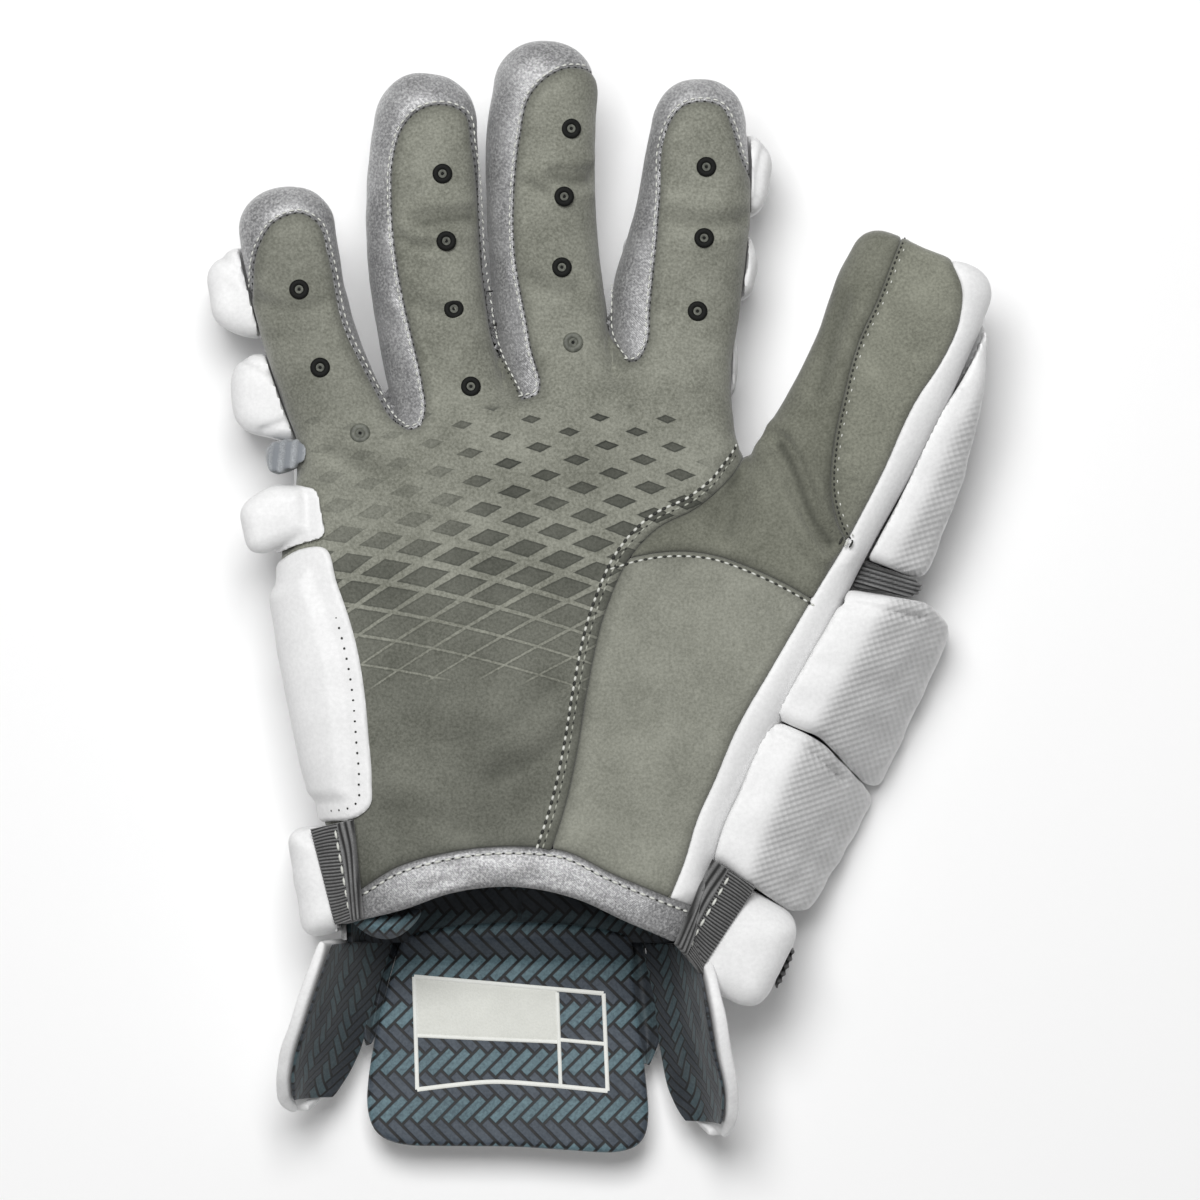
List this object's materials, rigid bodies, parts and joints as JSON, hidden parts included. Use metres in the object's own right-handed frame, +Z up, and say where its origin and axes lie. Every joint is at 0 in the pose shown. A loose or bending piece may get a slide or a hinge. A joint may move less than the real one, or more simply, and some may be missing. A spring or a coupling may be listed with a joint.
{
  "type": "ball hockey glove",
  "caption": "Right-hand padded glove with a suede palm, mesh finger gussets, segmented white pads on the back and a flared open cuff, lying palm up.",
  "frame": {"origin": "middle of the glove's footprint, on the floor it rests on", "axes": "+Y towards the fingertips, +X towards the thumb, +Z up out of the palm"},
  "size_m": [0.2307, 0.3296, 0.0637],
  "materials": {
    "palm_suede": "matte suede",
    "silver_mesh": "satin mesh",
    "liner_cloth": "matte",
    "printed_lining": "matte, woven pattern",
    "webbing": "ribbed elastic",
    "white_synthetic": "satin"
  },
  "bodies": {
    "root": {"palm_panel": "palm_suede", "thenar_panel": "palm_suede", "thumb_face_panel": "palm_suede", "thumb_saddle_panel": "palm_suede", "pinky_gusset": "silver_mesh", "ring_gusset": "silver_mesh", "middle_gusset": "silver_mesh", "index_gusset": "silver_mesh", "cuff_binding": "silver_mesh", "back_liner": "liner_cloth", "wrist_lining": "printed_lining", "cuff_flap_left_lining": "printed_lining", "cuff_flap_right_lining": "printed_lining", "cuff_flap_centre_lining": "printed_lining", "elastic_strap_left": "webbing", "elastic_strap_right": "webbing", "pinky_flex_strip": "webbing", "thumb_flex_strip": "webbing", "wrist_strap_tab": "webbing", "thumb_piping": "white_synthetic", "side_panel": "white_synthetic", "knuckle_side_pad": "white_synthetic", "pinky_pad_tip": "white_synthetic", "pinky_pad_middle": "white_synthetic", "ring_pad_tip": "white_synthetic", "ring_pad_middle": "white_synthetic", "ring_pad_base": "white_synthetic", "middle_pad_tip": "white_synthetic", "middle_pad_middle": "white_synthetic", "middle_pad_base": "white_synthetic", "index_pad_tip": "white_synthetic", "index_pad_middle": "white_synthetic", "index_pad_base": "white_synthetic", "knuckle_roll_outer": "white_synthetic", "knuckle_roll_inner": "white_synthetic", "backhand_roll_upper": "white_synthetic", "backhand_roll_lower": "white_synthetic", "thumb_roll_upper": "white_synthetic", "thumb_roll_lower": "white_synthetic", "thumb_cap": "white_synthetic", "wrist_pad_left": "white_synthetic", "wrist_pad_centre": "white_synthetic", "wrist_pad_right": "white_synthetic", "cuff_flap_left": "white_synthetic", "cuff_flap_right": "white_synthetic", "cuff_flap_centre": "white_synthetic"}
  },
  "joints": []
}
